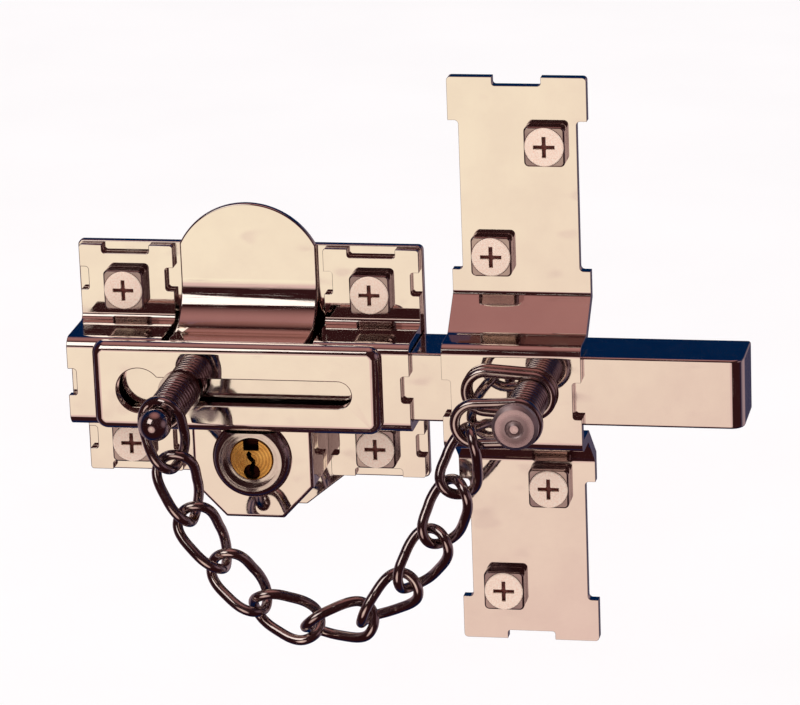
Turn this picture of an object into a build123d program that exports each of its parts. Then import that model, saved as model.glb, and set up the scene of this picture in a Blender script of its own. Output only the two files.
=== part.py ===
from build123d import *
import math
import os

# Surface-mounted sliding bolt lock with key cylinder, strap keeper and door chain.
# X runs along the bolt towards the door frame, Z is up, and the door face is the plane
# Y = 0 with the room on the -Y side. A "height" below is a distance in front of the door.
# The bolt's centre line is Z = 0, and X = 0 is the middle of the base plate.

# ---- driving dimensions, mm ----
PLATE_WIDTH = 80.0
PLATE_LENGTH = 55.0
PLATE_RISE = 1.0  # the plate's middle above the bolt's centre line
PLATE_THICK = 2.0
PLATE_CORNER = 1.2
TONGUE_MARGIN = 4.0  # the tongue beyond the cylinder housing's sides
TONGUE_FOOT_MARGIN = 1.6  # and beyond its foot
TONGUE_DROP = 2.5  # and below its shoulders and its foot
DOME_RISE = 9.7

BOLT_HIGH = 16.0
BOLT_THICK = 15.0
BOLT_LEFT = -39.0
BOLT_RIGHT = 114.0
BOLT_CORNER = 3.0
BOLT_EDGE = 0.6
BOLT_THROW = 74.0
SLIDE_GAP = 0.2  # clearance round the bolt

STRAP_THICK = 2.0
BRACKET_WIDTH = 22.0
BRACKET_OUTER = 39.4  # from the middle of the plate to a bracket's outer edge
BEND_OUTER = 2.6
BEND_INNER = 0.8
TAB_BEND = 1.6
TAB_INSET = 0.5  # the tabs' ends inside the plate's edge
TAB_CORNER = 0.7

SCREW_X = 28.5
SCREW_Z = 18.3
SHANK_R = 2.2
THREAD_ROOT_R = 1.85  # the shank behind the door face, under its thread
HEAD_R = 4.4
HEAD_DEEP = 2.4
HEAD_CROWN = 0.35
HEAD_CORNER = 0.2
SHANK_GAP = 0.25
SHANK_REACH = 22.0  # length of screw behind the door face
TIP_LONG = 3.5
TIP_R = 0.3
CROSS_LONG = 4.9
CROSS_WIDE = 0.95
CROSS_DEEP = 1.3
BUSH_SIDE = 9.2
BUSH_HIGH = 3.4
BUSH_CORNER = 1.1
BUSH_EDGE = 0.3
SINK_GAP = 0.08  # between a screw's head and its bush

NOTCH_WIDE = 11.0
NOTCH_DEEP = 2.0
NOTCH_CORNER = 0.7
SIDE_NOTCH = 5.4
SIDE_NOTCH_RISE = 1.7  # the upper side notches sit this much above the screws
FLANGE_NOTCH = 6.2

COVER_HALF = 33.2
COVER_THICK = 2.6
COVER_EDGE = 2.3
COVER_CORNER = 3.0
SLOT_Z = -0.8
SLOT_WIDE = 6.2
SLOT_RIGHT = 26.5
HOLE_X = -22.3
HOLE_R = 5.2
FOOT_GAP = 0.5  # the entry hole round the stud's foot
FOOT_WAY = 0.9  # room round the foot behind the cover
WAY_MARGIN = 1.6  # from the end of that way to the cover's end

HOUSING_WALL = 1.6
SWEEP_R = 10.1
HOUSING_GAP = 1.6  # between the housing and the brackets beside it

CYLINDER_X = 2.6
MODULE = 1.45
PINION_TEETH = 14
PRESSURE_ANGLE = 20.0
RACK_ADDENDUM = 0.75 * MODULE
PINION_ADDENDUM = 0.9 * MODULE
ROOT_CLEAR = 0.25 * MODULE
BACKLASH = 0.16
RACK_THICK = 4.4
RACK_BELOW = 0.5  # the cutter's overrun under the bolt
PINION_THICK = 3.4
PINION_LIFT = 0.3  # from the base plate
JOURNAL_GAP = 0.02
OUTSIDE_KEY_R = 4.0  # hole in the base plate for the outside cylinder's tail bar

BOX_HALF = 13.9
BOX_FOOT_HALF = 6.7
BOX_SHOULDER_DROP = 6.7  # from the cylinder's centre line to the housing's shoulders
BOX_FOOT_DROP = 14.3
BOX_WALL = 1.5
BOX_EDGE = 0.9
BOX_SET_BACK = 0.1  # the housing's front behind the brackets'
ROSE_WIDE = 2.8  # the rose beyond the body's neck
ROSE_HIGH = 2.4
ROSE_SKIRT = 0.5
RIM_WIDE = 0.9
ROSE_COVER_GAP = 0.1  # where the rose is cut flat under the slot cover
NECK_WALL = 1.3
BODY_WALL = 2.6
BODY_FACE = 0.6  # the body's face in front of the housing
BODY_LIFT = 1.2  # from the pinion to the body
PLUG_R = 5.0
PLUG_FACE = 0.4
PLUG_EDGE = 0.3
PLUG_GAP = 0.04
JOURNAL_R = 3.0
TANG_WIDE = 1.7
TANG_LONG = 4.4
TANG_DEEP = 2.5
KEYWAY_WIDE = 1.05
KEYWAY_BACK = 1.0  # solid metal behind the keyway
KEY_STOP_WIDE = 3.6
KEY_STOP_LONG = 2.9
KEY_STOP_DEEP = 3.0
KEY_BOSS_R = 1.9
KEY_BOSS_DROP = 3.0
KEY_BOSS_DEEP = 1.4
PIN_COUNT = 5
PIN_MARGIN = 1.85  # from the first and last pins to the body's ends
PIN_R = 0.62
PIN_GAP = 0.06
PIN_TOP = 1.6  # the key pins' ends below the cylinder's centre line
PIN_SHEAR = 0.12  # the pins' ends from the plug's surface
DRIVER_LONG = 2.4
PIN_BLOCK_HALF = 3.3
PIN_BLOCK_GAP = 0.3
PIN_CAP_HIGH = 1.0
PIN_SPRING_WIRE = 0.3
PIN_SPRING_TURNS = 4
CLIP_LIP = 0.9
CLIP_THICK = 0.8
CLIP_LIFT = 0.2

KEEPER_X = 62.5
KEEPER_WIDTH = 31.4
KEEPER_NECK = 26.6
KEEPER_TOP = 68.0
KEEPER_BOTTOM = -65.0
KEEPER_THICK = 2.5
KEEPER_DROP = 3.0  # extra room under the bolt
KEEPER_SLOPE_RUN = 7.1  # along the frame, from the hat's wall to the foot of its slope
KEEPER_SLOPE_HEIGHT = 11.0
KEEPER_CORNER = 0.9
EAR_LONG = 10.0
NECK_MARGIN = 5.4  # from the foot of the slope to the narrow stretch
KEEPER_NOTCH_EXTRA = 2.4
# the keeper's screws across its width, and where they stand along it
KEEPER_SCREW_X = (6.5, -6.2, 5.4, -5.6)
TOP_SCREW_INSET = 15.0  # from the keeper's top end
SLOPE_SCREW_GAP = 9.4  # from the foot of the slope
DROP_SCREW_GAP = 13.3  # from the keeper's lower wall
FOOT_SCREW_INSET = 12.8  # from the keeper's lower end

POST_X = 67.2
POST_Z = 0.0
POST_R = 2.5
POST_HEAD_R = 5.15
POST_HEAD_HIGH = 3.2
POST_RIVET = 0.5  # the riveted end is this much thinner than the post
POST_RIVET_GAP = 0.05
POST_EDGE = 0.5
POST_RIM_DROP = 1.3  # from the front of the head back to its rim
POST_BEVEL = 0.8
POST_FACE_DROP = 0.6
POST_GROOVE_R = 2.1
POST_GROOVE_DEEP = 0.35
POST_BUTTON_R = 1.3
STUD_X = -12.8
STUD_R = 2.5
SLOT_GAP = 0.2  # the slot's sides from the stud's neck
STUD_FOOT_HIGH = 1.5
STUD_FOOT_EDGE = 0.3
BALL_R = 3.65
BALL_RISE = 5.5  # from the chain's level to the ball's centre

SPRING_WIRE = 1.3
SPRING_PITCH = 1.75
SPRING_PLAY = 0.4  # between the coils and the shaft in them
COIL_GAP = 0.12
WASHER_R = 4.9
WASHER_HIGH = 0.9
WASHER_GAP = 0.1

LINK_WIRE = 2.3
LINK_WIDE = 8.6  # between the centre lines of a link's two sides
LINK_PITCH = 12.8
LINK_GAP = 0.8
LINK_TURN = -90.0  # every link is twisted this much from its start to its end
HANG_GAP = 0.15
RING_SLACK = 0.15  # extra room where the last link holds its ring
BOW_DIP = 1.8  # the twisted bow on the stud reaches this far below its middle
CHAIN_RISE = 18.1  # from the slot cover to the chain's level
RING_PLAY = 0.95  # between the end rings and the post, all round
RING_GAP = 0.15
FRONT_RING_RUN = 9.3  # length of an end ring's straight sides
REAR_RING_RUN = 10.2
REAR_RING_SLOPE = 176
# each link: its slope in the plane of the door, and the tilt of its first bow, degrees
CHAIN = (
    (-79, 19),
    (-74, 4),
    (-59, 2),
    (-49, 15),
    (-23, 40),
    (11, 66),
    (42, 82),
    (58, 62),
    (68, 45),
    (76, 18),
)

# ---- sizes that follow ----
BOLT_HALF = BOLT_HIGH / 2
BOLT_BACK = PLATE_THICK + SLIDE_GAP
BOLT_FRONT = BOLT_BACK + BOLT_THICK
STRAP_INSIDE = BOLT_FRONT + SLIDE_GAP
STRAP_FRONT = STRAP_INSIDE + STRAP_THICK
RISER_IN = BOLT_HALF + 2 * SLIDE_GAP
RISER_OUT = RISER_IN + STRAP_THICK
TAB_FRONT = PLATE_THICK + STRAP_THICK
PLATE_TOP = PLATE_RISE + PLATE_LENGTH / 2
PLATE_FOOT = PLATE_RISE - PLATE_LENGTH / 2
TAB_TOP = PLATE_TOP - TAB_INSET
TAB_FOOT = PLATE_FOOT + TAB_INSET
COVER_FRONT = STRAP_FRONT + COVER_THICK
PITCH_R = MODULE * PINION_TEETH / 2
CYLINDER_Z = -(BOLT_HALF - RACK_ADDENDUM + PITCH_R)
PINION_BACK = BOLT_BACK + PINION_LIFT
PINION_FRONT = PINION_BACK + PINION_THICK
BOX_FRONT = STRAP_FRONT - BOX_SET_BACK
BOX_INSIDE = BOX_FRONT - BOX_WALL
BOX_SHOULDER_Z = CYLINDER_Z - BOX_SHOULDER_DROP
BOX_FOOT_Z = CYLINDER_Z - BOX_FOOT_DROP
BODY_BACK = PINION_FRONT + BODY_LIFT
BODY_FRONT = BOX_FRONT + BODY_FACE
PLUG_FRONT = BODY_FRONT + PLUG_FACE
NECK_R = PLUG_R + NECK_WALL
BODY_R = PLUG_R + BODY_WALL
ROSE_R = NECK_R + ROSE_WIDE
ROSE_BORE = NECK_R + PLUG_GAP
PIN_BLOCK_FOOT = BOX_FOOT_Z + BOX_WALL + PIN_BLOCK_GAP
KEEPER_INSIDE = STRAP_INSIDE
KEEPER_FRONT = KEEPER_INSIDE + KEEPER_THICK
KEEPER_RISE = RISER_IN + KEEPER_THICK
KEEPER_SLOPE_Z = KEEPER_RISE + KEEPER_SLOPE_RUN
KEEPER_FALL = RISER_IN + KEEPER_DROP + KEEPER_THICK
WIRE_R = LINK_WIRE / 2
CROSS_STEP = LINK_WIRE + LINK_GAP  # between the two wires' centres where links cross
LINK_LONG = LINK_PITCH + CROSS_STEP
CHAIN_HEIGHT = COVER_FRONT + CHAIN_RISE
BALL_HEIGHT = CHAIN_HEIGHT + BALL_RISE
STUD_NECK_R = SLOT_WIDE / 2 - SLOT_GAP
STUD_FOOT_R = HOLE_R - FOOT_GAP
RING_WIDE = 2 * (POST_R + WIRE_R + RING_PLAY)

os.makedirs("parts", exist_ok=True)


def face_plane(height):
    """A plane parallel to the door, with X to the right and Z up, at this height."""
    return Plane.XZ.offset(height)


def long_edges(shape, height, z, reach=0.05):
    """The edges along X that lie at this height and this Z."""
    return shape.edges().filter_by(Axis.X).filter_by(
        lambda e: abs(e.center().Y + height) < reach and abs(e.center().Z - z) < reach
    )


def deep_edges(shape, x, z, reach=0.05):
    """The edges square to the door that lie at this X and this Z."""
    return shape.edges().filter_by(Axis.Y).filter_by(
        lambda e: abs(e.center().X - x) < reach and abs(e.center().Z - z) < reach
    )


def keep(part, name):
    """Labels a finished piece and writes its file."""
    part.label = name
    export_step(part, f"parts/{name}.step")
    print(f"{name:18s} {part.volume:10.2f} mm3")


# ---- base plate ----
with BuildPart() as base_plate:
    with BuildSketch(face_plane(0)):
        with Locations((0, PLATE_RISE)):
            RectangleRounded(PLATE_WIDTH, PLATE_LENGTH, PLATE_CORNER)
        half = BOX_HALF + TONGUE_MARGIN
        foot_half = BOX_FOOT_HALF + TONGUE_FOOT_MARGIN
        with BuildLine():
            Polyline(
                (CYLINDER_X - half, 0),
                (CYLINDER_X - half, BOX_SHOULDER_Z - TONGUE_DROP),
                (CYLINDER_X - foot_half, BOX_FOOT_Z - TONGUE_DROP),
                (CYLINDER_X + foot_half, BOX_FOOT_Z - TONGUE_DROP),
                (CYLINDER_X + half, BOX_SHOULDER_Z - TONGUE_DROP),
                (CYLINDER_X + half, 0),
                close=True,
            )
        make_face()
        with GridLocations(2 * SCREW_X, 2 * SCREW_Z, 2, 2):
            Circle(SHANK_R + SHANK_GAP, mode=Mode.SUBTRACT)
        with Locations((CYLINDER_X, CYLINDER_Z)):
            Circle(OUTSIDE_KEY_R, mode=Mode.SUBTRACT)
    extrude(amount=PLATE_THICK)
keep(base_plate.part, "base_plate")


# ---- brackets: hat-shaped straps that guide the bolt and carry the slot cover ----
def make_bracket(side):
    """side is -1 for the left bracket and 1 for the right one."""
    outer_x = side * BRACKET_OUTER
    middle_x = outer_x - side * BRACKET_WIDTH / 2
    with BuildPart() as bracket:
        with BuildSketch(Plane.YZ.offset(middle_x)):
            with Locations((-(PLATE_THICK + STRAP_THICK / 2), (TAB_TOP + TAB_FOOT) / 2)):
                Rectangle(STRAP_THICK, TAB_TOP - TAB_FOOT)
            with Locations((-(PLATE_THICK + STRAP_FRONT) / 2, 0)):
                Rectangle(STRAP_FRONT - PLATE_THICK, 2 * RISER_OUT)
            with Locations((-(PLATE_THICK + STRAP_INSIDE) / 2, 0)):
                Rectangle(STRAP_INSIDE - PLATE_THICK, 2 * RISER_IN, mode=Mode.SUBTRACT)
        extrude(amount=BRACKET_WIDTH / 2, both=True)
        for z in (-RISER_OUT, RISER_OUT):
            fillet(long_edges(bracket, STRAP_FRONT, z), BEND_OUTER)
            fillet(long_edges(bracket, TAB_FRONT, z), TAB_BEND)
        for z in (-RISER_IN, RISER_IN):
            fillet(long_edges(bracket, STRAP_INSIDE, z), BEND_INNER)
        # the way of the chain stud's foot behind the slot cover
        way_inner = side * (BRACKET_OUTER - BRACKET_WIDTH)
        way_outer = side * (COVER_HALF - WAY_MARGIN)
        with BuildSketch(face_plane(STRAP_INSIDE - 1)):
            with Locations(((way_inner + way_outer) / 2, SLOT_Z)):
                Rectangle(abs(way_outer - way_inner), 2 * (STUD_FOOT_R + FOOT_WAY))
        extrude(amount=STRAP_THICK + 2, mode=Mode.SUBTRACT)
        # notches in the tabs and in the front face's outer edge
        with BuildSketch(face_plane(PLATE_THICK)):
            with Locations((side * SCREW_X, TAB_TOP), (side * SCREW_X, TAB_FOOT)):
                RectangleRounded(NOTCH_WIDE, 2 * NOTCH_DEEP, NOTCH_CORNER)
            for z in (SCREW_Z + SIDE_NOTCH_RISE, -SCREW_Z):
                with Locations((outer_x, z), (outer_x - side * BRACKET_WIDTH, z)):
                    RectangleRounded(2 * NOTCH_DEEP, SIDE_NOTCH, NOTCH_CORNER)
        extrude(amount=STRAP_THICK, mode=Mode.SUBTRACT)
        with BuildSketch(face_plane(STRAP_INSIDE)):
            with Locations((outer_x, 0)):
                RectangleRounded(2 * NOTCH_DEEP, FLANGE_NOTCH, NOTCH_CORNER)
        extrude(amount=STRAP_THICK, mode=Mode.SUBTRACT)
        with BuildSketch(face_plane(PLATE_THICK)):
            with Locations((side * SCREW_X, SCREW_Z), (side * SCREW_X, -SCREW_Z)):
                Circle(SHANK_R + SHANK_GAP)
        extrude(amount=STRAP_THICK, mode=Mode.SUBTRACT)
        for z in (TAB_TOP, TAB_FOOT):
            for x in (outer_x, outer_x - side * BRACKET_WIDTH):
                fillet(deep_edges(bracket, x, z), TAB_CORNER)
    return bracket.part


keep(make_bracket(-1), "left_bracket")
keep(make_bracket(1), "right_bracket")

# ---- bolt housing: the domed plate that curves out to the front above the bolt ----
HOUSING_HALF = BRACKET_OUTER - BRACKET_WIDTH - HOUSING_GAP
HOUSING_FRONT = PLATE_THICK + HOUSING_WALL
SWEEP_HEIGHT = HOUSING_FRONT + SWEEP_R
SWEEP_Z = RISER_OUT + SWEEP_R
with BuildPart() as bolt_housing:
    with BuildSketch(face_plane(PLATE_THICK)):
        with BuildLine():
            Line((-HOUSING_HALF, PLATE_TOP), (-HOUSING_HALF, SWEEP_Z))
            Line((-HOUSING_HALF, SWEEP_Z), (HOUSING_HALF, SWEEP_Z))
            Line((HOUSING_HALF, SWEEP_Z), (HOUSING_HALF, PLATE_TOP))
            ThreePointArc(
                (HOUSING_HALF, PLATE_TOP), (0, PLATE_TOP + DOME_RISE), (-HOUSING_HALF, PLATE_TOP)
            )
        make_face()
    extrude(amount=HOUSING_WALL)
    with BuildSketch(Plane.YZ):
        with BuildLine():
            CenterArc((-SWEEP_HEIGHT, SWEEP_Z), SWEEP_R, 270, 90)
            Line((-HOUSING_FRONT, SWEEP_Z), (-PLATE_THICK, SWEEP_Z))
            CenterArc((-SWEEP_HEIGHT, SWEEP_Z), SWEEP_R + HOUSING_WALL, 0, -90)
            Line((-SWEEP_HEIGHT, RISER_OUT - HOUSING_WALL), (-STRAP_FRONT, RISER_OUT - HOUSING_WALL))
            Line((-STRAP_FRONT, RISER_OUT - HOUSING_WALL), (-STRAP_FRONT, RISER_OUT))
            Line((-STRAP_FRONT, RISER_OUT), (-SWEEP_HEIGHT, RISER_OUT))
        make_face()
    extrude(amount=HOUSING_HALF, both=True)
keep(bolt_housing.part, "bolt_housing")

# ---- slot cover: the raised front plate with the keyhole slot of the chain stud ----
with BuildPart() as slot_cover:
    with BuildSketch(face_plane(STRAP_FRONT)):
        RectangleRounded(2 * COVER_HALF, 2 * RISER_OUT, COVER_CORNER)
    extrude(amount=COVER_THICK)
    fillet(slot_cover.faces().sort_by(Axis.Y)[0].edges(), COVER_EDGE)
    with BuildSketch(face_plane(STRAP_FRONT)):
        with Locations((HOLE_X, SLOT_Z)):
            Circle(HOLE_R)
        with Locations(((HOLE_X + SLOT_RIGHT) / 2, SLOT_Z)):
            SlotOverall(SLOT_RIGHT - HOLE_X, SLOT_WIDE)
    extrude(amount=COVER_THICK, mode=Mode.SUBTRACT)
keep(slot_cover.part, "slot_cover")


# ---- cylinder housing: the six-sided box under the bolt ----
def box_outline(inset):
    """The housing's outline, moved inwards by inset, with its open side at the bolt."""
    slant = math.atan2(BOX_FOOT_DROP - BOX_SHOULDER_DROP, BOX_HALF - BOX_FOOT_HALF)
    shoulder = BOX_SHOULDER_Z + inset * math.tan((math.pi / 2 - slant) / 2)
    foot = BOX_FOOT_Z + inset
    top = -(BOLT_HALF + SLIDE_GAP)
    half = BOX_HALF - inset
    foot_half = BOX_FOOT_HALF - inset * math.tan(slant / 2)
    return (
        (CYLINDER_X - half, top),
        (CYLINDER_X - half, shoulder),
        (CYLINDER_X - foot_half, foot),
        (CYLINDER_X + foot_half, foot),
        (CYLINDER_X + half, shoulder),
        (CYLINDER_X + half, top),
    )


with BuildPart() as cylinder_housing:
    with BuildSketch(face_plane(PLATE_THICK)):
        with BuildLine():
            Polyline(*box_outline(0), close=True)
        make_face()
    extrude(amount=BOX_FRONT - PLATE_THICK)
    front_rim = cylinder_housing.faces().sort_by(Axis.Y)[0].edges()
    fillet(front_rim.sort_by(Axis.Z)[:-1], BOX_EDGE)
    with BuildSketch(face_plane(PLATE_THICK)):
        with BuildLine():
            Polyline(*box_outline(BOX_WALL), close=True)
        make_face()
    extrude(amount=BOX_INSIDE - PLATE_THICK, mode=Mode.SUBTRACT)
    with BuildSketch(face_plane(BOX_INSIDE)):
        with Locations((CYLINDER_X, CYLINDER_Z)):
            Circle(ROSE_BORE)
    extrude(amount=BOX_WALL, mode=Mode.SUBTRACT)
keep(cylinder_housing.part, "cylinder_housing")

CYLINDER_AXIS = Axis((CYLINDER_X, 0, CYLINDER_Z), (0, -1, 0))
CYLINDER_PLANE = Plane(origin=(CYLINDER_X, 0, CYLINDER_Z), x_dir=(1, 0, 0), z_dir=(0, 0, 1))


# ---- cylinder rose: a domed ring, cut flat where it passes under the slot cover ----
with BuildPart() as cylinder_rose:
    with BuildSketch(CYLINDER_PLANE):
        with BuildLine():
            Polyline(
                (ROSE_BORE, -BOX_FRONT),
                (ROSE_R, -BOX_FRONT),
                (ROSE_R, -(BOX_FRONT + ROSE_SKIRT)),
            )
            ThreePointArc(
                (ROSE_R, -(BOX_FRONT + ROSE_SKIRT)),
                (ROSE_BORE + 0.8 * (RIM_WIDE + ROSE_WIDE) / 2, -(BOX_FRONT + 0.88 * ROSE_HIGH)),
                (ROSE_BORE + RIM_WIDE, -(BOX_FRONT + ROSE_HIGH)),
            )
            Polyline(
                (ROSE_BORE + RIM_WIDE, -(BOX_FRONT + ROSE_HIGH)),
                (ROSE_BORE, -(BOX_FRONT + ROSE_HIGH)),
                (ROSE_BORE, -BOX_FRONT),
            )
        make_face()
    revolve(axis=CYLINDER_AXIS)
    with BuildSketch(face_plane(STRAP_FRONT)):
        with Locations((CYLINDER_X, 0)):
            Rectangle(3 * ROSE_R, 2 * (RISER_OUT + ROSE_COVER_GAP))
    extrude(amount=ROSE_HIGH, mode=Mode.SUBTRACT)
keep(cylinder_rose.part, "cylinder_rose")


# ---- cylinder body: turned barrel with the pin block hanging under it ----
def pin_places():
    """The heights of the pin holes in front of the door."""
    first = BODY_BACK + PIN_MARGIN
    pitch = (BOX_INSIDE - PIN_MARGIN - first) / (PIN_COUNT - 1)
    return [first + i * pitch for i in range(PIN_COUNT)]


with BuildPart() as cylinder_body:
    with BuildSketch(face_plane(BODY_BACK)):
        with Locations((CYLINDER_X, CYLINDER_Z)):
            Circle(BODY_R)
        with Locations((CYLINDER_X, (CYLINDER_Z + PIN_BLOCK_FOOT) / 2)):
            Rectangle(2 * PIN_BLOCK_HALF, CYLINDER_Z - PIN_BLOCK_FOOT)
    extrude(amount=BOX_INSIDE - BODY_BACK)
    with BuildSketch(face_plane(BOX_INSIDE)):
        with Locations((CYLINDER_X, CYLINDER_Z)):
            Circle(NECK_R)
    extrude(amount=BODY_FRONT - BOX_INSIDE)
    with BuildSketch(face_plane(BODY_BACK)):
        with Locations((CYLINDER_X, CYLINDER_Z)):
            Circle(PLUG_R + PLUG_GAP)
    extrude(amount=BODY_FRONT - BODY_BACK, mode=Mode.SUBTRACT)
    with BuildSketch(Plane.XY.offset(PIN_BLOCK_FOOT)):
        with Locations(*[(CYLINDER_X, -height) for height in pin_places()]):
            Circle(PIN_R + PIN_GAP)
    extrude(amount=CYLINDER_Z - PIN_BLOCK_FOOT, mode=Mode.SUBTRACT)
    # the neck is cut flat under the slot cover, like the rose
    with BuildSketch(face_plane(STRAP_FRONT)):
        with Locations((CYLINDER_X, 0)):
            Rectangle(3 * NECK_R, 2 * (RISER_OUT + ROSE_COVER_GAP))
    extrude(amount=BODY_FACE, mode=Mode.SUBTRACT)
    # the strip that closes the pin chambers sits in a step at the block's foot
    with BuildSketch(Plane.XY.offset(PIN_BLOCK_FOOT)):
        with Locations((CYLINDER_X, -(BODY_BACK + BOX_INSIDE) / 2)):
            Rectangle(2 * PIN_BLOCK_HALF, BOX_INSIDE - BODY_BACK)
    extrude(amount=PIN_CAP_HIGH, mode=Mode.SUBTRACT)
keep(cylinder_body.part, "cylinder_body")

with BuildPart() as pin_chamber_strip:
    with BuildSketch(Plane.XY.offset(PIN_BLOCK_FOOT)):
        with Locations((CYLINDER_X, -(BODY_BACK + BOX_INSIDE) / 2)):
            Rectangle(2 * PIN_BLOCK_HALF, BOX_INSIDE - BODY_BACK)
    extrude(amount=PIN_CAP_HIGH)
keep(pin_chamber_strip.part, "pin_chamber_strip")

# ---- plug: the part that the key turns, with a journal for the pinion behind it ----
with BuildPart() as cylinder_plug:
    with BuildSketch(face_plane(BODY_BACK)):
        with Locations((CYLINDER_X, CYLINDER_Z)):
            Circle(PLUG_R)
    extrude(amount=PLUG_FRONT - BODY_BACK)
    with BuildSketch(face_plane(BOLT_BACK)):
        with Locations((CYLINDER_X, CYLINDER_Z)):
            Circle(JOURNAL_R)
    extrude(amount=BODY_BACK - BOLT_BACK)
    chamfer(cylinder_plug.edges().filter_by(GeomType.CIRCLE).sort_by(Axis.Y)[:1], PLUG_EDGE)
    # crooked keyway, open to the plug's lower side
    with BuildSketch(face_plane(BODY_BACK + KEYWAY_BACK)):
        with BuildLine():
            Spline(
                (CYLINDER_X - 0.04 * PLUG_R, CYLINDER_Z + 0.34 * PLUG_R),
                (CYLINDER_X - 0.10 * PLUG_R, CYLINDER_Z + 0.12 * PLUG_R),
                (CYLINDER_X + 0.09 * PLUG_R, CYLINDER_Z - 0.12 * PLUG_R),
                (CYLINDER_X, CYLINDER_Z - 0.36 * PLUG_R),
                (CYLINDER_X, CYLINDER_Z - 0.84 * PLUG_R),
            )
        trace(line_width=KEYWAY_WIDE)
    extrude(amount=PLUG_FRONT - BODY_BACK, mode=Mode.SUBTRACT)
    # the stop notch for the key's shoulder at the top, and the round recess at the foot
    with BuildSketch(face_plane(PLUG_FRONT - KEY_STOP_DEEP)):
        with Locations((CYLINDER_X, CYLINDER_Z + PLUG_R - KEY_STOP_LONG / 2)):
            Rectangle(KEY_STOP_WIDE, KEY_STOP_LONG)
    extrude(amount=KEY_STOP_DEEP, mode=Mode.SUBTRACT)
    with BuildSketch(face_plane(PLUG_FRONT - KEY_BOSS_DEEP)):
        with Locations((CYLINDER_X, CYLINDER_Z - KEY_BOSS_DROP)):
            Circle(KEY_BOSS_R)
    extrude(amount=KEY_BOSS_DEEP, mode=Mode.SUBTRACT)
    with BuildSketch(Plane.XY.offset(CYLINDER_Z - PLUG_R)):
        with Locations(*[(CYLINDER_X, -height) for height in pin_places()]):
            Circle(PIN_R + PIN_GAP)
    extrude(amount=PLUG_R - PIN_TOP / 2, mode=Mode.SUBTRACT)
    with BuildSketch(face_plane(BOLT_BACK)):
        with Locations((CYLINDER_X, CYLINDER_Z)):
            Rectangle(TANG_LONG, TANG_WIDE)
    extrude(amount=TANG_DEEP, mode=Mode.SUBTRACT)
keep(cylinder_plug.part, "cylinder_plug")


# ---- pins and their springs, one group each ----
def pin_group(z_low, z_high, radius):
    """One round pin in each chamber, between two levels."""
    with BuildPart() as pins:
        with BuildSketch(Plane.XY.offset(z_low)):
            with Locations(*[(CYLINDER_X, -height) for height in pin_places()]):
                Circle(radius)
        extrude(amount=z_high - z_low)
    return pins.part


SHEAR_Z = CYLINDER_Z - PLUG_R
keep(pin_group(SHEAR_Z + PIN_SHEAR, CYLINDER_Z - PIN_TOP, PIN_R), "key_pins")
keep(pin_group(SHEAR_Z - DRIVER_LONG, SHEAR_Z - PIN_SHEAR, PIN_R), "driver_pins")

PIN_SPRING_R = PIN_R - PIN_SPRING_WIRE / 2 - PIN_GAP / 2
PIN_SPRING_END = PIN_SPRING_WIRE / 2 + PIN_GAP / 2
PIN_SPRING_FOOT = PIN_BLOCK_FOOT + PIN_CAP_HIGH + PIN_SPRING_END
PIN_SPRING_TOP = SHEAR_Z - DRIVER_LONG - PIN_SPRING_END
with BuildPart() as one_pin_spring:
    spring_long = PIN_SPRING_TOP - PIN_SPRING_FOOT
    with BuildLine() as pin_spring_line:
        Helix(spring_long / PIN_SPRING_TURNS, spring_long, PIN_SPRING_R)
    with BuildSketch(Plane(origin=pin_spring_line.line @ 0, z_dir=pin_spring_line.line % 0)):
        Circle(PIN_SPRING_WIRE / 2)
    sweep(path=pin_spring_line.line, is_frenet=True)
pin_springs = Compound(
    children=[
        one_pin_spring.part.moved(Location((CYLINDER_X, -height, PIN_SPRING_FOOT)))
        for height in pin_places()
    ]
)
keep(pin_springs, "pin_springs")

# ---- plug clip: the flat ring that keeps the plug in the body ----
with BuildPart() as plug_clip:
    with BuildSketch(face_plane(PINION_FRONT + CLIP_LIFT)):
        with Locations((CYLINDER_X, CYLINDER_Z)):
            Circle(PLUG_R + CLIP_LIP)
            Circle(JOURNAL_R, mode=Mode.SUBTRACT)
            Rectangle(2 * PLUG_R, 1.6 * JOURNAL_R, align=(Align.MIN, Align.CENTER), mode=Mode.SUBTRACT)
    extrude(amount=CLIP_THICK)
keep(plug_clip.part, "plug_clip")


# ---- drive pinion, in mesh with the rack on the bolt ----
def flank_half_angle(radius):
    """Half the angle that a tooth fills at this radius, with involute flanks."""
    base_r = PITCH_R * math.cos(math.radians(PRESSURE_ANGLE))
    alpha_pitch = math.radians(PRESSURE_ANGLE)
    alpha = math.acos(min(1, base_r / radius))
    half_pitch_angle = (math.pi * MODULE / 2 - BACKLASH) / 2 / PITCH_R
    return half_pitch_angle + (math.tan(alpha_pitch) - alpha_pitch) - (math.tan(alpha) - alpha)


def pinion_outline():
    """Points of the toothed outline about the pinion's own centre, one tooth at the top."""
    base_r = PITCH_R * math.cos(math.radians(PRESSURE_ANGLE))
    root_r = PITCH_R - RACK_ADDENDUM - ROOT_CLEAR
    tip_r = PITCH_R + PINION_ADDENDUM
    steps = [base_r + (tip_r - base_r) * i / 4 for i in range(5)]
    points = []
    for tooth in range(PINION_TEETH):
        middle = math.pi / 2 - tooth * 2 * math.pi / PINION_TEETH
        rising = [(root_r, flank_half_angle(base_r))] + [(r, flank_half_angle(r)) for r in steps]
        for r, half in rising:
            points.append((r * math.cos(middle + half), r * math.sin(middle + half)))
        for r, half in reversed(rising):
            points.append((r * math.cos(middle - half), r * math.sin(middle - half)))
    return points


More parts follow.
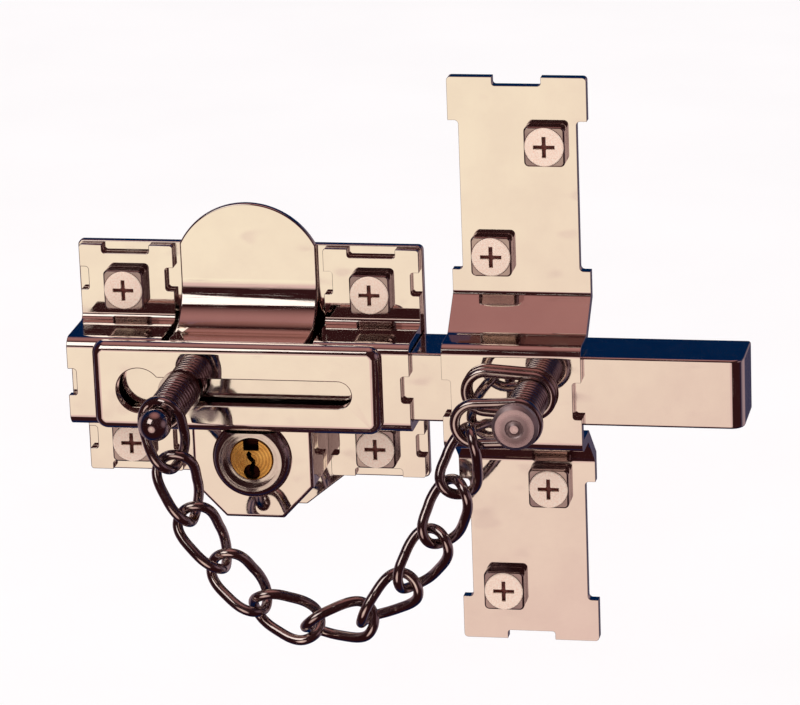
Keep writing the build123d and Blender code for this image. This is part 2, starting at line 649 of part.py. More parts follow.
with BuildPart() as drive_pinion:
    with BuildSketch(face_plane(PINION_BACK)):
        with Locations((CYLINDER_X, CYLINDER_Z)):
            with BuildLine():
                Polyline(*[(CYLINDER_X + x, CYLINDER_Z + z) for x, z in pinion_outline()], close=True)
        make_face()
        with Locations((CYLINDER_X, CYLINDER_Z)):
            Circle(JOURNAL_R + JOURNAL_GAP, mode=Mode.SUBTRACT)
    extrude(amount=PINION_THICK)
keep(drive_pinion.part, "drive_pinion")

# ---- bolt, with the rack cut into its back lower edge ----
RACK_PITCH = math.pi * MODULE
RACK_LINE_Z = -(BOLT_HALF - RACK_ADDENDUM)
RACK_ROOT_Z = RACK_LINE_Z + PINION_ADDENDUM + ROOT_CLEAR
RACK_SPARE = 2  # spaces beyond the mesh at each end of the throw
RACK_SPACES = math.ceil(BOLT_THROW / RACK_PITCH) + 2 * RACK_SPARE
with BuildPart() as bolt:
    with BuildSketch(face_plane(BOLT_BACK)):
        with Locations(((BOLT_LEFT + BOLT_RIGHT) / 2, 0)):
            Rectangle(BOLT_RIGHT - BOLT_LEFT, BOLT_HIGH)
    extrude(amount=BOLT_THICK)
    nose = bolt.edges().filter_by(Axis.Z).filter_by(
        lambda e: e.center().X > BOLT_RIGHT - 1 and e.center().Y < -BOLT_THICK
    )
    fillet(nose, BOLT_CORNER)
    fillet(long_edges(bolt, BOLT_FRONT, BOLT_HALF) + long_edges(bolt, BOLT_FRONT, -BOLT_HALF), BOLT_EDGE)
    # one space of the rack at the pinion, then the same space again and again towards the nose
    tan_a = math.tan(math.radians(PRESSURE_ANGLE))
    half_space = (RACK_PITCH / 2 + BACKLASH / 2) / 2
    low_half = half_space + (RACK_LINE_Z + BOLT_HALF + RACK_BELOW) * tan_a
    top_half = half_space - (RACK_ROOT_Z - RACK_LINE_Z) * tan_a
    with BuildSketch(face_plane(BOLT_BACK)):
        for i in range(RACK_SPACES + 1):
            middle = CYLINDER_X + (i - RACK_SPARE) * RACK_PITCH
            with BuildLine():
                Polyline(
                    (middle - low_half, -BOLT_HALF - RACK_BELOW),
                    (middle - top_half, RACK_ROOT_Z),
                    (middle + top_half, RACK_ROOT_Z),
                    (middle + low_half, -BOLT_HALF - RACK_BELOW),
                    close=True,
                )
            make_face()
    extrude(amount=RACK_THICK, mode=Mode.SUBTRACT)
keep(bolt.part, "bolt")


# ---- square bushes and the countersunk cross-head screws in them ----
def make_bushes(places, seat):
    """One square bush at each (X, Z) place, standing on a tab whose front is at height seat."""
    front = seat + BUSH_HIGH
    with BuildPart() as bushes:
        with BuildSketch(face_plane(seat)):
            with Locations(*places):
                RectangleRounded(BUSH_SIDE, BUSH_SIDE, BUSH_CORNER)
        extrude(amount=BUSH_HIGH)
        chamfer(bushes.faces().filter_by(Axis.Y).group_by(Axis.Y)[0].edges(), BUSH_EDGE)
        with BuildSketch(face_plane(seat)):
            with Locations(*places):
                Circle(SHANK_R + SHANK_GAP)
        extrude(amount=BUSH_HIGH, mode=Mode.SUBTRACT)
        with Locations(*[(x, -(front - HEAD_DEEP / 2), z) for x, z in places]):
            Cone(
                SHANK_R + SINK_GAP,
                HEAD_R + SINK_GAP,
                HEAD_DEEP,
                rotation=(90, 0, 0),
                mode=Mode.SUBTRACT,
            )
    return bushes.part


def make_screws(places, seat):
    """One countersunk screw at each (X, Z) place, its head flush with its bush."""
    front = seat + BUSH_HIGH
    with BuildPart() as screws:
        with Locations(*[(x, -(front - HEAD_DEEP / 2), z) for x, z in places]):
            Cone(SHANK_R, HEAD_R, HEAD_DEEP, rotation=(90, 0, 0))
        with BuildSketch(face_plane(front)):
            with Locations(*places):
                Circle(HEAD_R)
        extrude(amount=HEAD_CROWN)
        chamfer(screws.faces().filter_by(Axis.Y).group_by(Axis.Y)[0].edges(), HEAD_CORNER)
        with BuildSketch(face_plane(0)):
            with Locations(*places):
                Circle(SHANK_R)
        extrude(amount=front - HEAD_DEEP)
        with BuildSketch(face_plane(-SHANK_REACH)):
            with Locations(*places):
                Circle(THREAD_ROOT_R)
        extrude(amount=SHANK_REACH)
        tips = screws.faces().filter_by(Axis.Y).group_by(Axis.Y)[-1].edges()
        chamfer(tips, TIP_LONG, THREAD_ROOT_R - TIP_R)
        with BuildSketch(face_plane(front + HEAD_CROWN)):
            with Locations(*places):
                Rectangle(CROSS_LONG, CROSS_WIDE)
                Rectangle(CROSS_WIDE, CROSS_LONG)
                Circle(CROSS_WIDE * 0.8)
        extrude(amount=-CROSS_DEEP, mode=Mode.SUBTRACT)
    return screws.part


body_places = [(x, z) for x in (-SCREW_X, SCREW_X) for z in (-SCREW_Z, SCREW_Z)]
keeper_screw_z = (
    KEEPER_TOP - TOP_SCREW_INSET,
    KEEPER_SLOPE_Z + SLOPE_SCREW_GAP,
    -KEEPER_FALL - DROP_SCREW_GAP,
    KEEPER_BOTTOM + FOOT_SCREW_INSET,
)
keeper_places = [(KEEPER_X + x, z) for x, z in zip(KEEPER_SCREW_X, keeper_screw_z)]
keep(make_bushes(body_places, TAB_FRONT), "body_bushes")
keep(make_screws(body_places, TAB_FRONT), "body_screws")
keep(make_bushes(keeper_places, KEEPER_THICK), "keeper_bushes")
keep(make_screws(keeper_places, KEEPER_THICK), "keeper_screws")

# ---- keeper: the strap on the frame, bent over the bolt ----
SLOPE = KEEPER_SLOPE_RUN / (KEEPER_SLOPE_HEIGHT - KEEPER_THICK)
SLOPE_WALL = KEEPER_THICK * math.hypot(1, SLOPE)


def hat_side(side, crown, inside):
    """Points of one side of the hat, from the frame to the crown: (-height, Z) pairs."""
    slope_start = KEEPER_SLOPE_Z + (crown - KEEPER_RISE) + SLOPE * KEEPER_THICK
    if inside:
        level = crown - KEEPER_THICK
        corner = (slope_start - SLOPE_WALL - level) / SLOPE
        return [(0, side * (slope_start - SLOPE_WALL)), (-corner, side * level), (-KEEPER_INSIDE, side * level)]
    return [(0, side * slope_start), (-KEEPER_SLOPE_HEIGHT, side * crown), (-KEEPER_FRONT, side * crown)]


with BuildPart() as keeper_strap:
    with BuildSketch(Plane.YZ.offset(KEEPER_X)):
        with Locations((-KEEPER_THICK / 2, (KEEPER_TOP + KEEPER_BOTTOM) / 2)):
            Rectangle(KEEPER_THICK, KEEPER_TOP - KEEPER_BOTTOM)
        with BuildLine():
            Polyline(*hat_side(1, KEEPER_RISE, False), *hat_side(-1, KEEPER_FALL, False)[::-1], close=True)
        make_face()
        with BuildLine():
            Polyline(*hat_side(1, KEEPER_RISE, True), *hat_side(-1, KEEPER_FALL, True)[::-1], close=True)
        make_face(mode=Mode.SUBTRACT)
    extrude(amount=KEEPER_WIDTH / 2, both=True)
    for z in (KEEPER_RISE, -KEEPER_FALL):
        fillet(long_edges(keeper_strap, KEEPER_FRONT, z), BEND_OUTER)
        fillet(long_edges(keeper_strap, KEEPER_SLOPE_HEIGHT, z), BEND_OUTER)
    for z in (RISER_IN, -(RISER_IN + KEEPER_DROP)):
        fillet(long_edges(keeper_strap, KEEPER_INSIDE, z), BEND_INNER)
    bend_low = -(KEEPER_SLOPE_Z + KEEPER_FALL - KEEPER_RISE)
    for z in (KEEPER_SLOPE_Z, bend_low):
        fillet(long_edges(keeper_strap, KEEPER_THICK, z), TAB_BEND)
    neck_deep = (KEEPER_WIDTH - KEEPER_NECK) / 2
    neck_spans = (
        (KEEPER_TOP - EAR_LONG, KEEPER_SLOPE_Z + NECK_MARGIN),
        (bend_low - NECK_MARGIN, KEEPER_BOTTOM + EAR_LONG),
    )
    with BuildSketch(face_plane(0)):
        for top, foot in neck_spans:
            for side in (-1, 1):
                with Locations((KEEPER_X + side * KEEPER_WIDTH / 2, (top + foot) / 2)):
                    RectangleRounded(2 * neck_deep, top - foot, KEEPER_CORNER)
        with Locations((KEEPER_X, KEEPER_TOP), (KEEPER_X, KEEPER_BOTTOM)):
            RectangleRounded(NOTCH_WIDE, 2 * NOTCH_DEEP, NOTCH_CORNER)
        with Locations(*keeper_places):
            Circle(SHANK_R + SHANK_GAP)
    extrude(amount=KEEPER_THICK, mode=Mode.SUBTRACT)
    with BuildSketch(face_plane(KEEPER_INSIDE)):
        for side in (-1, 1):
            with Locations((KEEPER_X + side * KEEPER_WIDTH / 2, (KEEPER_RISE - KEEPER_FALL) / 2)):
                RectangleRounded(2 * NOTCH_DEEP, FLANGE_NOTCH + KEEPER_NOTCH_EXTRA, NOTCH_CORNER)
        with Locations((POST_X, POST_Z)):
            Circle(POST_R - POST_RIVET + POST_RIVET_GAP)
    extrude(amount=KEEPER_THICK, mode=Mode.SUBTRACT)
    for z in (KEEPER_TOP, KEEPER_BOTTOM):
        for side in (-1, 1):
            fillet(deep_edges(keeper_strap, KEEPER_X + side * KEEPER_WIDTH / 2, z), KEEPER_CORNER)
keep(keeper_strap.part, "keeper_strap")


# ---- chain ----
def heading(angle):
    """The unit vector at this slope in a plane parallel to the door, as (X, Z)."""
    return math.cos(math.radians(angle)), math.sin(math.radians(angle))


# the first link hangs on the stud; every other link starts where the one before it ends
LINK_HANG = STUD_R + WIRE_R + HANG_GAP
joint_x = STUD_X
joint_z = SLOT_Z
chain_joints = [(joint_x, joint_z)]
for number, (slope, twist) in enumerate(CHAIN):
    run = LINK_PITCH
    if number == 0:
        run = LINK_LONG - LINK_HANG - CROSS_STEP / 2
    joint_x += run * heading(slope)[0]
    joint_z += run * heading(slope)[1]
    chain_joints.append((joint_x, joint_z))
for number, (x, z) in enumerate(chain_joints):
    print(f"chain joint {number}: {x:.3f} {-CHAIN_HEIGHT:.3f} {z:.3f}")


def link_path(number):
    """The centre line of a twisted link: a long loop that turns about its own length."""
    slope, tilt = CHAIN[number]
    along_x, along_z = heading(slope)
    overhang = CROSS_STEP / 2
    if number == 0:
        overhang = LINK_HANG
    middle = LINK_LONG / 2 - overhang
    middle_x = chain_joints[number][0] + middle * along_x
    middle_z = chain_joints[number][1] + middle * along_z
    half_run = (LINK_LONG - LINK_WIDE) / 2
    bend = LINK_WIDE / 2
    outline = [(0, bend), (half_run, bend)]
    for turn in (60, 30, 0, -30, -60):
        outline.append((half_run + bend * heading(turn)[0], bend * heading(turn)[1]))
    outline.append((half_run, -bend))
    outline += [(-run, -across) for run, across in outline]
    points = []
    for run, across in outline:
        lean = math.radians(tilt + LINK_TURN * (run / LINK_LONG + 0.5))
        side = across * math.cos(lean)
        points.append((
            middle_x + run * along_x - side * along_z,
            -CHAIN_HEIGHT - across * math.sin(lean),
            middle_z + run * along_z + side * along_x,
        ))
    return points


def make_link(number):
    """One twisted wire link, swept in two halves that meet in the middle of its sides."""
    with BuildPart() as link:
        with BuildLine():
            wire = Spline(*link_path(number), periodic=True)
        for start in (0, 0.5):
            half = wire.trim(start, start + 0.5)
            with BuildSketch(Plane(origin=half @ 0, z_dir=half % 0)):
                Circle(WIRE_R)
            sweep(path=half)
    print(f"link {number + 1}: its wire alone {wire.length * math.pi * WIRE_R**2:.2f} mm3")
    return link.part


for number in range(len(CHAIN)):
    keep(make_link(number), f"chain_link_{number + 1:02d}")

# ---- oval end rings on the keeper post; the front one carries the last link ----
hold_back = CROSS_STEP / 2 + RING_SLACK
hold_x = chain_joints[-1][0] - hold_back * heading(CHAIN[-1][0])[0] - POST_X
hold_z = chain_joints[-1][1] - hold_back * heading(CHAIN[-1][0])[1] - POST_Z
hold_reach = math.hypot(hold_x, hold_z)
# the slope that brings the ring's far bow to the last link
hold_side = (hold_reach**2 + FRONT_RING_RUN**2 - RING_WIDE**2 / 4) / (2 * hold_reach * FRONT_RING_RUN)
FRONT_RING_SLOPE = math.degrees(math.atan2(hold_z, hold_x) - math.acos(hold_side))
REAR_RING_HEIGHT = KEEPER_FRONT + RING_GAP + WIRE_R


def make_ring(slope, run, height):
    """A flat oval ring whose right end goes round the keeper post."""
    along_x, along_z = heading(slope)
    origin = (POST_X + run / 2 * along_x, -height, POST_Z + run / 2 * along_z)
    bend = RING_WIDE / 2
    half_run = run / 2
    with BuildPart() as ring:
        with BuildLine(Plane(origin=origin, x_dir=(along_x, 0, along_z), z_dir=(0, -1, 0))) as path:
            Line((-half_run, bend), (half_run, bend))
            ThreePointArc((half_run, bend), (half_run + bend, 0), (half_run, -bend))
            Line((half_run, -bend), (-half_run, -bend))
            ThreePointArc((-half_run, -bend), (-half_run - bend, 0), (-half_run, bend))
        with BuildSketch(Plane(origin=path.line @ 0, z_dir=path.line % 0)):
            Circle(WIRE_R)
        sweep(path=path.line)
    return ring.part


keep(make_ring(FRONT_RING_SLOPE, FRONT_RING_RUN, CHAIN_HEIGHT), "front_end_ring")
keep(make_ring(REAR_RING_SLOPE, REAR_RING_RUN, REAR_RING_HEIGHT), "rear_end_ring")

# ---- keeper post: a shaft riveted through the keeper, with a turned disc head ----
POST_HEAD_BACK = CHAIN_HEIGHT + WIRE_R + 2 * RING_GAP
POST_HEAD_FRONT = POST_HEAD_BACK + POST_HEAD_HIGH
POST_PLANE = Plane(origin=(POST_X, 0, POST_Z), x_dir=(1, 0, 0), z_dir=(0, 0, 1))
with BuildPart() as keeper_post:
    with BuildSketch(POST_PLANE):
        with BuildLine():
            Polyline(
                (0, -KEEPER_INSIDE),
                (POST_R - POST_RIVET, -KEEPER_INSIDE),
                (POST_R - POST_RIVET, -KEEPER_FRONT),
                (POST_R, -KEEPER_FRONT),
                (POST_R, -POST_HEAD_BACK),
                (POST_HEAD_R - POST_EDGE, -POST_HEAD_BACK),
                (POST_HEAD_R, -(POST_HEAD_BACK + POST_EDGE)),
                (POST_HEAD_R, -(POST_HEAD_FRONT - POST_RIM_DROP)),
                (POST_HEAD_R - POST_BEVEL, -(POST_HEAD_FRONT - POST_FACE_DROP)),
                (POST_GROOVE_R, -(POST_HEAD_FRONT - POST_GROOVE_DEEP / 2)),
                (POST_GROOVE_R - POST_GROOVE_DEEP, -(POST_HEAD_FRONT - POST_GROOVE_DEEP)),
                (POST_BUTTON_R, -(POST_HEAD_FRONT - POST_GROOVE_DEEP / 2)),
                (POST_BUTTON_R - POST_GROOVE_DEEP, -POST_HEAD_FRONT),
                (0, -POST_HEAD_FRONT),
                close=True,
            )
        make_face()
    revolve(axis=Axis((POST_X, 0, POST_Z), (0, -1, 0)))
keep(keeper_post.part, "keeper_post")

# ---- chain stud: foot behind the slot, shaft and ball end ----
FOOT_BACK = BOLT_FRONT + (STRAP_FRONT - BOLT_FRONT - STUD_FOOT_HIGH) / 2
WASHER_BACK = COVER_FRONT + WASHER_GAP
with BuildPart() as chain_stud:
    with BuildSketch(Plane(origin=(STUD_X, 0, SLOT_Z), x_dir=(1, 0, 0), z_dir=(0, 0, 1))):
        with BuildLine():
            Polyline(
                (0, -FOOT_BACK),
                (STUD_FOOT_R - STUD_FOOT_EDGE, -FOOT_BACK),
                (STUD_FOOT_R, -(FOOT_BACK + STUD_FOOT_EDGE)),
                (STUD_FOOT_R, -(FOOT_BACK + STUD_FOOT_HIGH)),
                (STUD_NECK_R, -(FOOT_BACK + STUD_FOOT_HIGH)),
                (STUD_NECK_R, -WASHER_BACK),
                (STUD_R, -WASHER_BACK),
                (STUD_R, -BALL_HEIGHT),
                (0, -BALL_HEIGHT),
                close=True,
            )
        make_face()
    revolve(axis=Axis((STUD_X, 0, SLOT_Z), (0, -1, 0)))
    with Locations((STUD_X, -BALL_HEIGHT, SLOT_Z)):
        Sphere(BALL_R)
keep(chain_stud.part, "chain_stud")

with BuildPart() as stud_washer:
    with BuildSketch(face_plane(WASHER_BACK)):
        with Locations((STUD_X, SLOT_Z)):
            Circle(WASHER_R)
            Circle(STUD_R + WASHER_GAP, mode=Mode.SUBTRACT)
    extrude(amount=WASHER_HIGH)
keep(stud_washer.part, "stud_washer")


# ---- coil springs ----
def make_spring(x, z, shaft_r, low, high):
    """A coil round a shaft that stands square to the door at (x, z), between two heights."""
    coil_r = shaft_r + SPRING_PLAY + SPRING_WIRE / 2
    start = low + SPRING_WIRE / 2 + COIL_GAP
    length = high - low - SPRING_WIRE - 2 * COIL_GAP
    turns = round(length / SPRING_PITCH)
    with BuildPart() as spring:
        with BuildLine() as path:
            Helix(length / turns, length, coil_r, center=(x, -start, z), direction=(0, -1, 0))
        with BuildSketch(Plane(origin=path.line @ 0, z_dir=path.line % 0)):
            Circle(SPRING_WIRE / 2)
        sweep(path=path.line, is_frenet=True)
    return spring.part


stud_spring_high = CHAIN_HEIGHT - WIRE_R - BOW_DIP
keep(make_spring(STUD_X, SLOT_Z, STUD_R, WASHER_BACK + WASHER_HIGH, stud_spring_high), "stud_spring")
keeper_spring_low = REAR_RING_HEIGHT + WIRE_R
keep(make_spring(POST_X, POST_Z, POST_R, keeper_spring_low, CHAIN_HEIGHT - WIRE_R), "keeper_spring")
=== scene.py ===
import math

import bmesh
import bpy
from mathutils import Matrix, Vector


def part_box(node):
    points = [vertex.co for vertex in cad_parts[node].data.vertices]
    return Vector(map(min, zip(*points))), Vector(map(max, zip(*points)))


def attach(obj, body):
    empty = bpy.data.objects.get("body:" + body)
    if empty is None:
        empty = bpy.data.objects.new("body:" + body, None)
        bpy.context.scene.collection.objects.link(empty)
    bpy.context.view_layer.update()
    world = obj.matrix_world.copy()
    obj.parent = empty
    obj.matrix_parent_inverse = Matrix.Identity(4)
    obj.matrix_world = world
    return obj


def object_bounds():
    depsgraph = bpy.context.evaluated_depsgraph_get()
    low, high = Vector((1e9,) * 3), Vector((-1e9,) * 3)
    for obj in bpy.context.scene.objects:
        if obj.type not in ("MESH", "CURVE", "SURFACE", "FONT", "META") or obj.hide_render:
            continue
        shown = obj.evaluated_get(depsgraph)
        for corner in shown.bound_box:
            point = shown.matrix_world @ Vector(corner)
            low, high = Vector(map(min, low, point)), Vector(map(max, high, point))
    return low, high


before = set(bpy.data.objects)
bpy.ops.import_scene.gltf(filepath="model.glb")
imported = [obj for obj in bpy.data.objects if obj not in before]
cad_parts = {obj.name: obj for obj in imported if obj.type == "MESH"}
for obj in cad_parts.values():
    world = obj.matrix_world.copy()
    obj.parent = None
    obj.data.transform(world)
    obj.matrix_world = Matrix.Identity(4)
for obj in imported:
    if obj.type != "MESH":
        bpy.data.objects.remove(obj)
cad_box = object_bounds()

# ---- pressed plates ----
# The base plate, the two guide brackets, the bolt housing and the slot cover are blanked from
# strip steel, bent in a press, buffed on a mop and nickel plated. Buffing rounds every edge.
MM = 0.001
PLATE_NODES = ("base_plate", "left_bracket", "right_bracket", "bolt_housing", "slot_cover")
BUFFED_EDGE = 0.42 * MM
MERGE = 0.002 * MM
FLAT_ANGLE = math.radians(1.0)
EDGE_ANGLE = math.radians(32.0)


def buffed(node, width, segments=3):
    """Rounds the sharp edges of a carried-over part, as buffing does."""
    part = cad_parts[node]
    weld = part.modifiers.new("join", "WELD")
    weld.merge_threshold = MERGE
    flats = part.modifiers.new("flats", "DECIMATE")
    flats.decimate_type = "DISSOLVE"
    flats.angle_limit = FLAT_ANGLE
    edges = part.modifiers.new("buffed edges", "BEVEL")
    edges.width = width
    edges.segments = segments
    edges.limit_method = "ANGLE"
    edges.angle_limit = EDGE_ANGLE
    edges.profile = 0.5
    edges.use_clamp_overlap = True
    normals = part.modifiers.new("normals", "WEIGHTED_NORMAL")
    normals.weight = 80
    return part


def start_material(name):
    """A new material with its tree and its surface shader."""
    made = bpy.data.materials.new(name)
    made.use_nodes = True
    return made, made.node_tree, made.node_tree.nodes["Principled BSDF"]


def grain(tree, size, stretch=(1, 1, 1), turn=(0, 0, 0), detail=3.0):
    """A noise whose blotches are about size across, stretched along an axis by a factor."""
    place = tree.nodes.new("ShaderNodeTexCoord")
    mapping = tree.nodes.new("ShaderNodeMapping")
    mapping.inputs["Rotation"].default_value = turn
    mapping.inputs["Scale"].default_value = [1 / (size * s) for s in stretch]
    noise = tree.nodes.new("ShaderNodeTexNoise")
    noise.inputs["Scale"].default_value = 1.0
    noise.inputs["Detail"].default_value = detail
    tree.links.new(place.outputs["Object"], mapping.inputs["Vector"])
    tree.links.new(mapping.outputs["Vector"], noise.inputs["Vector"])
    return noise.outputs["Fac"]


def ramp(tree, value, stops):
    """Colours by value: (place, colour) pairs."""
    node = tree.nodes.new("ShaderNodeValToRGB")
    elements = node.color_ramp.elements
    while len(elements) < len(stops):
        elements.new(0.5)
    for element, (place, colour) in zip(elements, stops):
        element.position = place
        element.color = (*colour, 1)
    tree.links.new(value, node.inputs["Fac"])
    return node.outputs["Color"]


def span(tree, value, low, high, to_low, to_high):
    """The value, clamped and carried from one range to another."""
    node = tree.nodes.new("ShaderNodeMapRange")
    tree.links.new(value, node.inputs["Value"])
    for socket, number in zip(("From Min", "From Max", "To Min", "To Max"), (low, high, to_low, to_high)):
        node.inputs[socket].default_value = number
    return node.outputs["Result"]


def maths(tree, operation, first, second):
    """Two values, or a value and a number, through one operation."""
    node = tree.nodes.new("ShaderNodeMath")
    node.operation = operation
    tree.links.new(first, node.inputs[0])
    if isinstance(second, (int, float)):
        node.inputs[1].default_value = second
    else:
        tree.links.new(second, node.inputs[1])
    return node.outputs[0]


def relief(tree, shader, layers):
    """Bumps from (height value, depth in metres) pairs, one on top of the other."""
    under = None
    for height, depth in layers:
        bump = tree.nodes.new("ShaderNodeBump")
        bump.inputs["Distance"].default_value = depth
        tree.links.new(height, bump.inputs["Height"])
        if under:
            tree.links.new(under, bump.inputs["Normal"])
        under = bump.outputs["Normal"]
    tree.links.new(under, shader.inputs["Normal"])


def hairlines(tree, turn, thin=0.05 * MM, run=260):
    """A few fine polishing scratches in one direction, 0 to 1."""
    lines = grain(tree, thin, stretch=(run, 1, run * 0.5), turn=turn, detail=1.0)
    return span(tree, lines, 0.66, 0.74, 0, 1)


def polished_metal(name, light, dark, dull=0.045, wave=26e-6):
    """A buffed and plated surface: faint waves, orange peel, hairlines and hazy patches."""
    made, tree, shader = start_material(name)
    patches = grain(tree, 9 * MM)
    tint = ramp(tree, patches, [(0.35, dark), (0.65, light)])
    tree.links.new(tint, shader.inputs["Base Color"])
    shader.inputs["Metallic"].default_value = 1.0
    haze = span(tree, grain(tree, 4 * MM, detail=5.0), 0.45, 0.75, dull, dull + 0.04)
    scratches = maths(
        tree, "MAXIMUM", hairlines(tree, (0.3, 0.5, 0.2)), hairlines(tree, (0.1, -0.9, 0.4))
    )
    worn = maths(tree, "MULTIPLY", scratches, 0.16)
    tree.links.new(maths(tree, "ADD", haze, worn), shader.inputs["Roughness"])
    relief(
        tree,
        shader,
        [(grain(tree, 14 * MM, detail=1.0), wave), (grain(tree, 1.1 * MM, detail=2.0), 1.6e-6), (scratches, -1.2e-6)],
    )
    return made


def finish_with(material, *nodes):
    """Gives carried-over parts their finish."""
    for node in nodes:
        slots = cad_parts[node].data.materials
        for i in range(len(slots)):
            slots[i] = material


nickel = polished_metal("polished_plate", (0.95, 0.89, 0.83), (0.91, 0.84, 0.79), dull=0.03, wave=16e-6)
for node in PLATE_NODES:
    buffed(node, BUFFED_EDGE)
finish_with(nickel, *PLATE_NODES)

# ---- bolt ----
# A square bar of drawn steel with a rack cut in its back edge, ground along its length,
# polished and plated like the plates.
bar_steel = polished_metal("bolt_bar", (0.94, 0.88, 0.82), (0.90, 0.83, 0.78), dull=0.06)
buffed("bolt", 0.25 * MM)
finish_with(bar_steel, "bolt")

# ---- cylinder housing, rose, body and plug ----
# The six-sided housing is a plated casting. The rose and the body are turned and plated, and
# the plug in the middle is plain turned brass with a crooked keyway.
buffed("cylinder_housing", 0.4 * MM)
finish_with(nickel, "cylinder_housing")


def turned_metal(name, axis, light, dark, dull, ring=0.12 * MM, depth=4e-6):
    """Metal turned in a lathe about a line square to the door through axis = (x, z)."""
    made, tree, shader = start_material(name)
    place = tree.nodes.new("ShaderNodeTexCoord")
    centre = tree.nodes.new("ShaderNodeMapping")
    centre.inputs["Location"].default_value = (-axis[0], 0, -axis[1])
    rings = tree.nodes.new("ShaderNodeTexWave")
    rings.wave_type = "RINGS"
    rings.rings_direction = "Y"
    rings.inputs["Scale"].default_value = 1 / (ring * 20)
    rings.inputs["Distortion"].default_value = 0.6
    rings.inputs["Detail"].default_value = 2.0
    tree.links.new(place.outputs["Object"], centre.inputs["Vector"])
    tree.links.new(centre.outputs["Vector"], rings.inputs["Vector"])
    patches = grain(tree, 2.5 * MM, detail=4.0)
    tree.links.new(ramp(tree, patches, [(0.3, dark), (0.7, light)]), shader.inputs["Base Color"])
    shader.inputs["Metallic"].default_value = 1.0
    smooth = span(tree, rings.outputs["Fac"], 0, 1, dull, dull * 1.7)
    spots = span(tree, grain(tree, 0.5 * MM, detail=5.0), 0.55, 0.8, 0, 0.15)
    tree.links.new(maths(tree, "ADD", smooth, spots), shader.inputs["Roughness"])
    relief(tree, shader, [(rings.outputs["Fac"], depth), (grain(tree, 0.3 * MM), 2e-6)])
    return made


plug_low, plug_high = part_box("cylinder_plug")
cylinder_axis = ((plug_low.x + plug_high.x) / 2, (plug_low.z + plug_high.z) / 2)
turned_plate = turned_metal("turned_plate", cylinder_axis, (0.80, 0.72, 0.68), (0.66, 0.58, 0.55), 0.10)
brass = turned_metal("brass", cylinder_axis, (0.95, 0.56, 0.15), (0.66, 0.31, 0.07), 0.24)
plug_brass = turned_metal("plug_brass", cylinder_axis, (0.95, 0.56, 0.15), (0.66, 0.31, 0.07), 0.24)
plug_tree = plug_brass.node_tree
plug_shader = plug_tree.nodes["Principled BSDF"]
plug_colour = plug_shader.inputs["Base Color"].links[0].from_socket
plug_place = plug_tree.nodes.new("ShaderNodeTexCoord")
plug_parts = plug_tree.nodes.new("ShaderNodeSeparateXYZ")
plug_tree.links.new(plug_place.outputs["Object"], plug_parts.inputs["Vector"])
# Painted shade: the plug's colour goes near black from 0.5 to 1.2 mm behind its front face, darkening the keyway.
keyway_shade_depth = span(plug_tree, plug_parts.outputs["Y"], plug_low.y + 0.5 * MM, plug_low.y + 1.2 * MM, 0, 1)
keyway_shade = plug_tree.nodes.new("ShaderNodeMix")
keyway_shade.data_type = "RGBA"
plug_tree.links.new(keyway_shade_depth, keyway_shade.inputs[0])
plug_tree.links.new(plug_colour, keyway_shade.inputs[6])
keyway_shade.inputs[7].default_value = (0.03, 0.008, 0.006, 1)
plug_tree.links.new(keyway_shade.outputs[2], plug_shader.inputs["Base Color"])
finish_with(turned_plate, "cylinder_rose", "cylinder_body")
finish_with(plug_brass, "cylinder_plug")
finish_with(brass, "key_pins", "driver_pins", "pin_chamber_strip")

# ---- screws and bushes ----
# Countersunk cross-head screws of matt zinc-plated steel, each in a square plated bush that
# lifts its head off the strap.
RECESS_TOP = 0.5 * MM
RECESS_FLOOR = 0.8 * MM


def screw_finish(name, node):
    """Matt zinc plate with painted shade: the cross recess below the crown of the heads, and all behind it, is
    darkened red-brown.
    """
    made, tree, shader = start_material(name)
    speck = grain(tree, 0.35 * MM, detail=6.0)
    zinc = ramp(
        tree, speck, [(0.25, (0.86, 0.56, 0.44)), (0.5, (0.98, 0.76, 0.62)), (0.75, (1.0, 0.87, 0.74))]
    )
    place = tree.nodes.new("ShaderNodeTexCoord")
    parts = tree.nodes.new("ShaderNodeSeparateXYZ")
    tree.links.new(place.outputs["Object"], parts.inputs["Vector"])
    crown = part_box(node)[0].y
    # Painted shade: from 0.5 to 0.8 mm behind the crown the colour goes dark red-brown and less metallic, darkening
    # the cross recess.
    recess_shade = span(tree, parts.outputs["Y"], crown + RECESS_TOP, crown + RECESS_FLOOR, 0, 1)
    mix = tree.nodes.new("ShaderNodeMix")
    mix.data_type = "RGBA"
    tree.links.new(recess_shade, mix.inputs[0])
    tree.links.new(zinc, mix.inputs[6])
    mix.inputs[7].default_value = (0.16, 0.03, 0.02, 1)
    tree.links.new(mix.outputs[2], shader.inputs["Base Color"])
    tree.links.new(span(tree, recess_shade, 0, 1, 0.15, 0.05), shader.inputs["Metallic"])
    tree.links.new(span(tree, speck, 0.3, 0.7, 0.34, 0.55), shader.inputs["Roughness"])
    relief(tree, shader, [(grain(tree, 0.25 * MM, detail=5.0), 14e-6), (grain(tree, 2 * MM), 20e-6)])
    finish_with(made, node)
    return made


body_screw_finish = screw_finish("body_screw_steel", "body_screws")
keeper_screw_finish = screw_finish("keeper_screw_steel", "keeper_screws")
bush_plate = polished_metal("bush_plate", (0.52, 0.42, 0.40), (0.32, 0.24, 0.25), dull=0.12)
for node in ("body_bushes", "keeper_bushes"):
    buffed(node, 0.18 * MM)
finish_with(bush_plate, "body_bushes", "keeper_bushes")

# The screws' threads: rolled ridges that run from the back of the strap to the point.
THREAD_IN = 1.75 * MM
THREAD_OUT = 2.32 * MM
THREAD_PITCH = 1.8 * MM
THREAD_WIDE = 0.55 * MM
THREAD_START = 0.8 * MM
THREAD_TURNS = 9
TURN_STEPS = 24
BODY_SCREWS = [(x * MM, z * MM) for x in (-28.5, 28.5) for z in (-18.3, 18.3)]
KEEPER_SCREWS = [(69.0 * MM, 53.0 * MM), (56.3 * MM, 27.4 * MM), (67.9 * MM, -27.2 * MM), (56.9 * MM, -52.2 * MM)]


